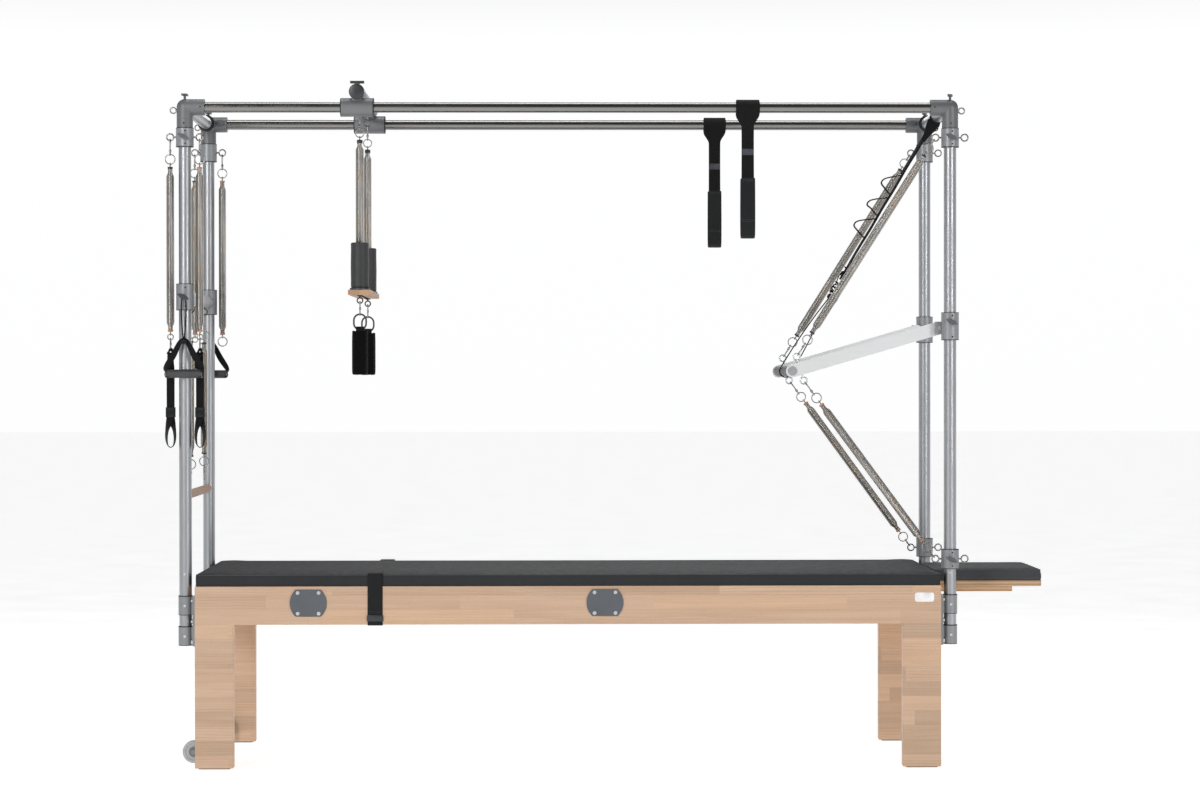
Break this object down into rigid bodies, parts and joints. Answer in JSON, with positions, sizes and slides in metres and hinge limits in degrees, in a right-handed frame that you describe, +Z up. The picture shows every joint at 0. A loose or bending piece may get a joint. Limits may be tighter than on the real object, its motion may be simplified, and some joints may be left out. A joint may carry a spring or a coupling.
{
  "type": "pilates trapeze table",
  "caption": "Wooden padded bench under a tubular frame with a sliding trapeze, sprung push bar, height-adjustable spring bar, springs, handles and straps.",
  "frame": {"origin": "on the floor, under the centre of the bench", "axes": "+X along the bench towards the push bar end, +Y across the bench away from the badge side, +Z up"},
  "size_m": [2.8433, 0.749, 2.204],
  "materials": {
    "beech": "laminated beech board, satin oil",
    "plywood": "birch plywood, sealed edge",
    "pad_vinyl": "soft matt upholstery vinyl over foam",
    "badge_plate": "matt anodised plate",
    "bright_screw": "bright zinc",
    "bracket_grey": "fine grey powder coat",
    "post_alu": "satin anodised tube",
    "rail_steel": "polished stainless tube",
    "fitting_grey": "matt dark grey coat",
    "collar_grey": "light grey coat",
    "black_rubber": "matt rubber",
    "eye_steel": "bright steel wire",
    "knob_plastic": "moulded plastic",
    "webbing": "woven nylon webbing",
    "foam_grip": "closed-cell foam",
    "spring_steel": "close-wound steel wire",
    "arm_alu": "satin flat bar",
    "wheel_grey": "grey moulded wheel",
    "fleece": "brushed fleece",
    "dowel_wood": "varnished beech rod"
  },
  "bodies": {
    "root": {"side_panel_near": "beech", "side_panel_far": "beech", "cross_members": "beech", "deck": "plywood", "mat_pad": "pad_vinyl", "foot_pads": "black_rubber", "badge_plates": "badge_plate", "badge_screws": "bright_screw", "post_brackets": "bracket_grey", "bracket_bolts": "bright_screw", "posts": "post_alu", "rails": "rail_steel", "top_crossbars": "post_alu", "corner_fittings": "fitting_grey", "bumper_rings": "black_rubber", "top_collars": "collar_grey", "low_collars": "collar_grey", "pivot_collars": "collar_grey", "fixed_eyebolts": "eye_steel", "clamp_knobs": "knob_plastic", "body_belt": "webbing", "wheel_brackets": "bracket_grey", "safety_strap": "webbing", "upper_springs": "spring_steel", "lower_springs": "spring_steel"},
    "push_bar": {"push_arms": "arm_alu", "push_tube": "post_alu", "push_grip": "foam_grip", "push_bar_bolts": "bright_screw"},
    "carriage": {"carriage_frame": "fitting_grey", "carriage_eyebolts": "eye_steel"},
    "lock_pin": {"lock_pin": "knob_plastic"},
    "trapeze": {"trapeze_springs": "spring_steel", "trapeze_foams": "foam_grip", "trapeze_board": "beech", "trapeze_bolts": "eye_steel"},
    "cuff_near": {"cuff_near": "fleece"},
    "cuff_far": {"cuff_far": "fleece"},
    "spring_bar": {"spring_bar": "collar_grey", "spring_bar_fittings": "knob_plastic"},
    "roll_down": {"roll_springs": "spring_steel", "roll_bar": "dowel_wood"},
    "handle_near": {"handle_near_strap": "webbing", "handle_near_grip": "foam_grip"},
    "handle_far": {"handle_far_strap": "webbing", "handle_far_grip": "foam_grip"},
    "hanging_spring_1": {"hanging_spring_1": "spring_steel"},
    "hanging_spring_2": {"hanging_spring_2": "spring_steel"},
    "hanging_spring_3": {"hanging_spring_3": "spring_steel"},
    "hanging_spring_4": {"hanging_spring_4": "spring_steel"},
    "foot_loop_1": {"foot_loop_1": "webbing"},
    "foot_loop_2": {"foot_loop_2": "webbing"},
    "rail_sleeve_near": {"rail_sleeve_near": "webbing"},
    "rail_sleeve_far": {"rail_sleeve_far": "webbing"},
    "rail_strap_near": {"rail_strap_near": "webbing"},
    "rail_strap_far": {"rail_strap_far": "webbing"},
    "wheel_near": {"wheel_near": "wheel_grey"},
    "wheel_far": {"wheel_far": "wheel_grey"},
    "end_leaf": {"leaf_board": "plywood", "leaf_pad": "pad_vinyl"}
  },
  "joints": [
    {"name": "carriage_slide", "type": "slide", "parent": "root", "child": "carriage", "axis": [1, 0, 0], "range_m": [-0.43, 1.075]},
    {"name": "lock_pin_pull", "type": "slide", "parent": "carriage", "child": "lock_pin", "axis": [0, 0, 1], "range_m": [0, 0.012]},
    {"name": "trapeze_swing", "type": "hinge", "parent": "carriage", "child": "trapeze", "pos_m": [-0.677, 0, 2.113], "axis": [0, 1, 0], "range_deg": [-40, 30]},
    {"name": "cuff_near_swing", "type": "hinge", "parent": "trapeze", "child": "cuff_near", "pos_m": [-0.677, -0.2, 1.503], "axis": [0, 1, 0], "range_deg": [-40, 40]},
    {"name": "cuff_far_swing", "type": "hinge", "parent": "trapeze", "child": "cuff_far", "pos_m": [-0.677, 0.2, 1.503], "axis": [0, 1, 0], "range_deg": [-40, 40]},
    {"name": "push_bar_pivot", "type": "hinge", "parent": "root", "child": "push_bar", "pos_m": [1.197, 0, 1.411], "axis": [0, 1, 0], "range_deg": [-45, 60], "stiffness_Nm_per_rad": 120, "springref_deg": 3.44, "deforming": ["upper_springs", "lower_springs", "safety_strap"]},
    {"name": "spring_bar_slide", "type": "slide", "parent": "root", "child": "spring_bar", "axis": [0, 0, 1], "range_m": [-0.22, 0.42]},
    {"name": "roll_down_swing", "type": "hinge", "parent": "spring_bar", "child": "roll_down", "pos_m": [-1.229, 0, 1.475], "axis": [0, -1, 0], "range_deg": [-45, 45]},
    {"name": "handle_near_swing", "type": "hinge", "parent": "spring_bar", "child": "handle_near", "pos_m": [-1.229, -0.3575, 1.511], "axis": [0, 1, 0], "range_deg": [-40, 40]},
    {"name": "handle_far_swing", "type": "hinge", "parent": "spring_bar", "child": "handle_far", "pos_m": [-1.229, 0.3575, 1.511], "axis": [0, 1, 0], "range_deg": [-40, 40]},
    {"name": "hanging_spring_1_swing", "type": "hinge", "parent": "root", "child": "hanging_spring_1", "pos_m": [-1.276, -0.32, 2.023], "axis": [0, 1, 0], "range_deg": [0, 35]},
    {"name": "hanging_spring_2_swing", "type": "hinge", "parent": "root", "child": "hanging_spring_2", "pos_m": [-1.182, -0.32, 2.023], "axis": [0, -1, 0], "range_deg": [0, 35]},
    {"name": "hanging_spring_3_swing", "type": "hinge", "parent": "root", "child": "hanging_spring_3", "pos_m": [-1.276, 0.32, 2.023], "axis": [0, 1, 0], "range_deg": [0, 35]},
    {"name": "hanging_spring_4_swing", "type": "hinge", "parent": "root", "child": "hanging_spring_4", "pos_m": [-1.182, 0.32, 2.023], "axis": [0, -1, 0], "range_deg": [0, 35]},
    {"name": "foot_loop_1_swing", "type": "hinge", "parent": "hanging_spring_1", "child": "foot_loop_1", "pos_m": [-1.276, -0.32, 1.383], "axis": [0, 1, 0], "range_deg": [0, 35]},
    {"name": "foot_loop_2_swing", "type": "hinge", "parent": "hanging_spring_2", "child": "foot_loop_2", "pos_m": [-1.182, -0.32, 1.383], "axis": [0, -1, 0], "range_deg": [0, 35]},
    {"name": "rail_sleeve_near_slide", "type": "slide", "parent": "root", "child": "rail_sleeve_near", "axis": [1, 0, 0], "range_m": [-0.35, 0.2]},
    {"name": "rail_sleeve_far_slide", "type": "slide", "parent": "root", "child": "rail_sleeve_far", "axis": [1, 0, 0], "range_m": [-0.35, 0.2]},
    {"name": "rail_strap_near_swing", "type": "hinge", "parent": "rail_sleeve_near", "child": "rail_strap_near", "pos_m": [0.577, -0.32, 2.119], "axis": [1, 0, 0], "range_deg": [-60, 60]},
    {"name": "rail_strap_far_swing", "type": "hinge", "parent": "rail_sleeve_far", "child": "rail_strap_far", "pos_m": [0.506, 0.32, 2.119], "axis": [-1, 0, 0], "range_deg": [-60, 60]},
    {"name": "wheel_near_spin", "type": "hinge", "parent": "root", "child": "wheel_near", "pos_m": [-1.204, -0.307, 0.0505], "axis": [0, 1, 0], "continuous": true},
    {"name": "wheel_far_spin", "type": "hinge", "parent": "root", "child": "wheel_far", "pos_m": [-1.204, 0.307, 0.0505], "axis": [0, 1, 0], "continuous": true},
    {"name": "end_leaf_slide", "type": "slide", "parent": "root", "child": "end_leaf", "axis": [1, 0, 0], "range_m": [0, 0.15]}
  ]
}
